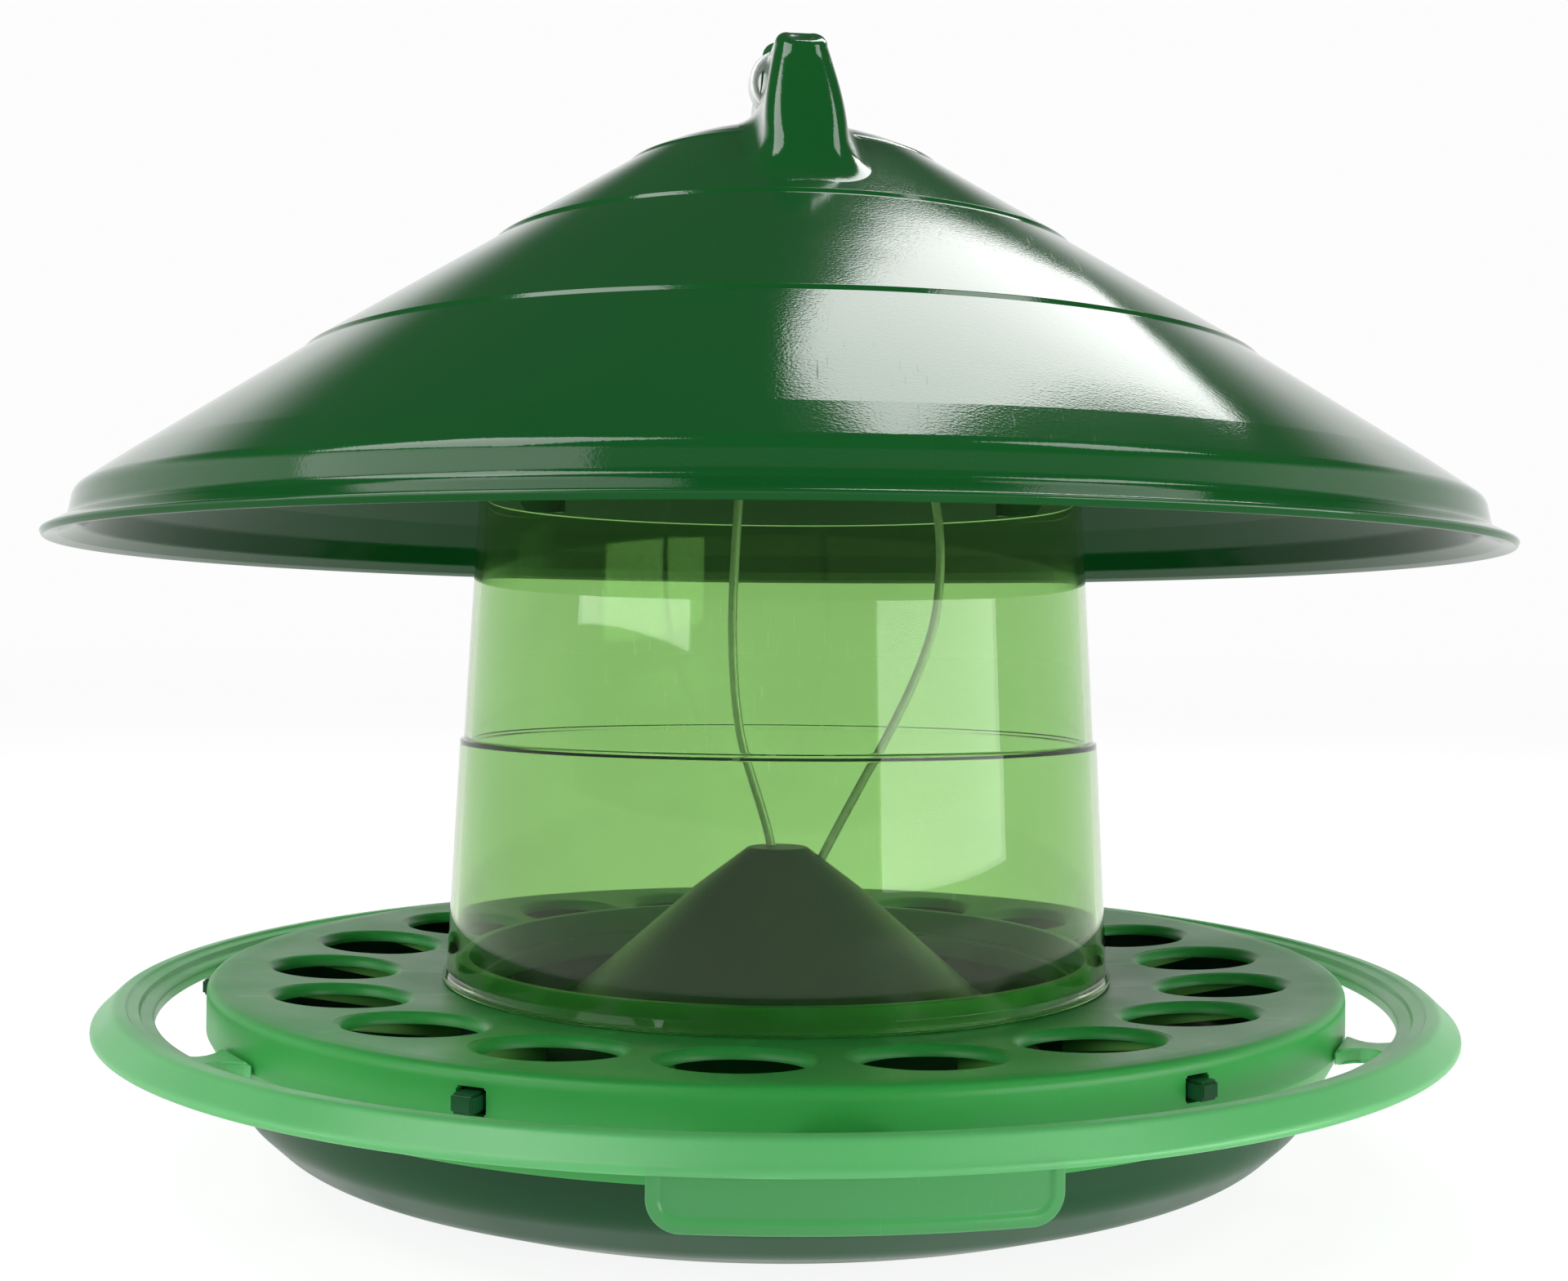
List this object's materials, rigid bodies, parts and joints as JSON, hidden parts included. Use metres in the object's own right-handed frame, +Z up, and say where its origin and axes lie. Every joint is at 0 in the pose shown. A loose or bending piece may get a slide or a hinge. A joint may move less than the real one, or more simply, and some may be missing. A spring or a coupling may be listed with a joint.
{
  "type": "gravity poultry feeder",
  "caption": "Round hanging feeder for hens: clear feed hopper over a covered trough with feed holes, perch ring, lift-up rain roof with handle and wire eye",
  "frame": {"origin": "centre of the ring that the base pan stands on, at ground level", "axes": "+Z up through the hanging eye, -Y the front where the perch ring's tab is, +X to the right"},
  "size_m": [0.42, 0.42, 0.336],
  "materials": {
    "dark_green_plastic": "moulded, satin",
    "ring_green_plastic": "moulded, translucent",
    "perch_green_plastic": "moulded, translucent",
    "clear_green_plastic": "clear, polished",
    "roof_green_plastic": "moulded, glossy",
    "galvanised_steel": "drawn and galvanised"
  },
  "bodies": {
    "base": {"base_pan": "dark_green_plastic", "feed_ring": "ring_green_plastic", "perch_ring": "perch_green_plastic", "hanger_wire": "galvanised_steel"},
    "hopper": {"hopper": "clear_green_plastic"},
    "roof": {"roof": "roof_green_plastic"}
  },
  "joints": [
    {"name": "roof_lift", "type": "slide", "parent": "base", "child": "roof", "axis": [0, 0, 1], "range_m": [0, 0.16]},
    {"name": "hopper_turn", "type": "hinge", "parent": "base", "child": "hopper", "pos_m": [0, 0, 0.054], "axis": [0, 0, 1], "range_deg": [0, 16]}
  ]
}
